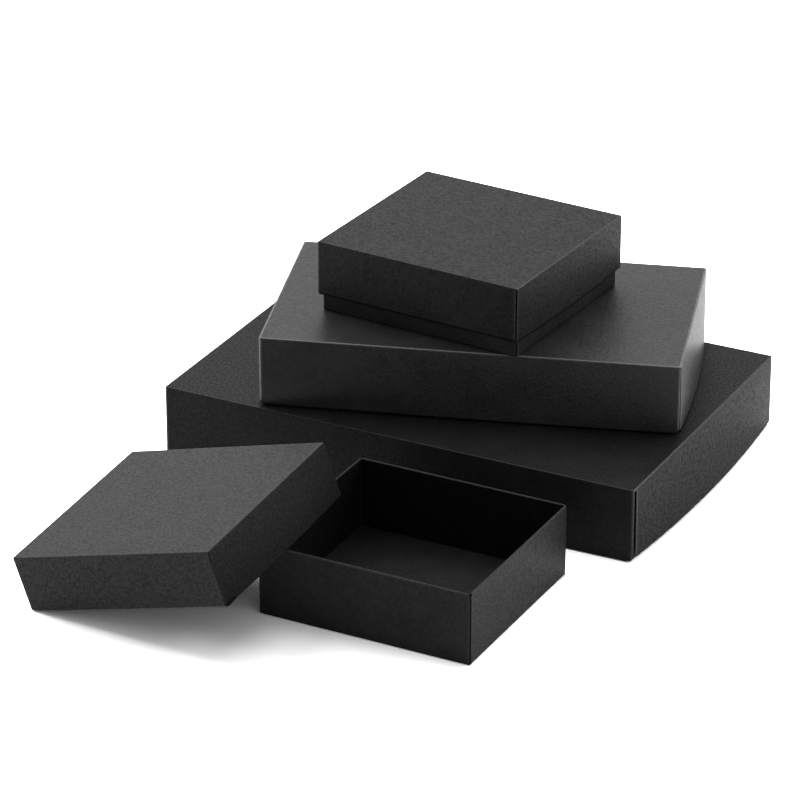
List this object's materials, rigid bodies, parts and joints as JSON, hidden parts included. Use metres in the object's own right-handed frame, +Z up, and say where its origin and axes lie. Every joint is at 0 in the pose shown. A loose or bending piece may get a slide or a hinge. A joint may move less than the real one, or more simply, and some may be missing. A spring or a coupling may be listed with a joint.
{
  "type": "gift box set",
  "caption": "Set of shallow two-piece black card gift boxes with lift-off lids: closed boxes in a turned stack, and a small open box with its lid leaning on it.",
  "frame": {"origin": "middle of the underside of the large base, on the surface that the set stands on", "axes": "+X along the large box's width to the right, +Y to its back away from the open box, +Z up"},
  "size_m": [0.2344, 0.3185, 0.0996],
  "materials": {
    "black_card": "matte dyed-through black card with a fine fibre grain, paler along the creases",
    "black_card_inside": "the same matte black card on the inside layers"
  },
  "bodies": {
    "large_base": {"large_base_floor": "black_card", "large_base_front_wall": "black_card", "large_base_back_wall": "black_card", "large_base_left_wall": "black_card", "large_base_right_wall": "black_card", "large_base_inner_walls": "black_card_inside", "large_base_corner_flaps": "black_card_inside"},
    "large_lid": {"large_lid_top": "black_card", "large_lid_front_wall": "black_card", "large_lid_back_wall": "black_card", "large_lid_left_wall": "black_card", "large_lid_right_wall": "black_card", "large_lid_inner_walls": "black_card_inside", "large_lid_corner_flaps": "black_card_inside"},
    "medium_base": {"medium_base_floor": "black_card", "medium_base_front_wall": "black_card", "medium_base_back_wall": "black_card", "medium_base_left_wall": "black_card", "medium_base_right_wall": "black_card", "medium_base_inner_walls": "black_card_inside", "medium_base_corner_flaps": "black_card_inside"},
    "medium_lid": {"medium_lid_top": "black_card", "medium_lid_front_wall": "black_card", "medium_lid_back_wall": "black_card", "medium_lid_left_wall": "black_card", "medium_lid_right_wall": "black_card", "medium_lid_inner_walls": "black_card_inside", "medium_lid_corner_flaps": "black_card_inside"},
    "small_base": {"small_base_floor": "black_card", "small_base_front_wall": "black_card", "small_base_back_wall": "black_card", "small_base_left_wall": "black_card", "small_base_right_wall": "black_card", "small_base_inner_walls": "black_card_inside", "small_base_corner_flaps": "black_card_inside"},
    "small_lid": {"small_lid_top": "black_card", "small_lid_front_wall": "black_card", "small_lid_back_wall": "black_card", "small_lid_left_wall": "black_card", "small_lid_right_wall": "black_card", "small_lid_inner_walls": "black_card_inside", "small_lid_corner_flaps": "black_card_inside"},
    "open_base": {"open_base_floor": "black_card", "open_base_front_wall": "black_card", "open_base_back_wall": "black_card", "open_base_left_wall": "black_card", "open_base_right_wall": "black_card", "open_base_inner_walls": "black_card_inside", "open_base_corner_flaps": "black_card_inside"},
    "open_lid": {"open_lid_top": "black_card", "open_lid_front_wall": "black_card", "open_lid_back_wall": "black_card", "open_lid_left_wall": "black_card", "open_lid_right_wall": "black_card", "open_lid_inner_walls": "black_card_inside", "open_lid_corner_flaps": "black_card_inside"}
  },
  "joints": [
    {"name": "large_lid_lift", "type": "slide", "parent": "large_base", "child": "large_lid", "axis": [0, 0, 1], "range_m": [0, 0.05]},
    {"name": "medium_box_lift", "type": "slide", "parent": "large_lid", "child": "medium_base", "axis": [0, 0, 1], "range_m": [0, 0.04]},
    {"name": "medium_lid_lift", "type": "slide", "parent": "medium_base", "child": "medium_lid", "axis": [0, 0, 1], "range_m": [0, 0.05]},
    {"name": "small_box_lift", "type": "slide", "parent": "medium_lid", "child": "small_base", "axis": [0, 0, 1], "range_m": [0, 0.04]},
    {"name": "small_lid_lift", "type": "slide", "parent": "small_base", "child": "small_lid", "axis": [0, 0, 1], "range_m": [0, 0.04]},
    {"name": "open_box_lift", "type": "slide", "parent": "large_base", "child": "open_base", "axis": [0, 0, 1], "range_m": [0, 0.04]},
    {"name": "open_lid_lift", "type": "slide", "parent": "open_base", "child": "open_lid", "axis": [0, 0, 1], "range_m": [0, 0.05]}
  ]
}
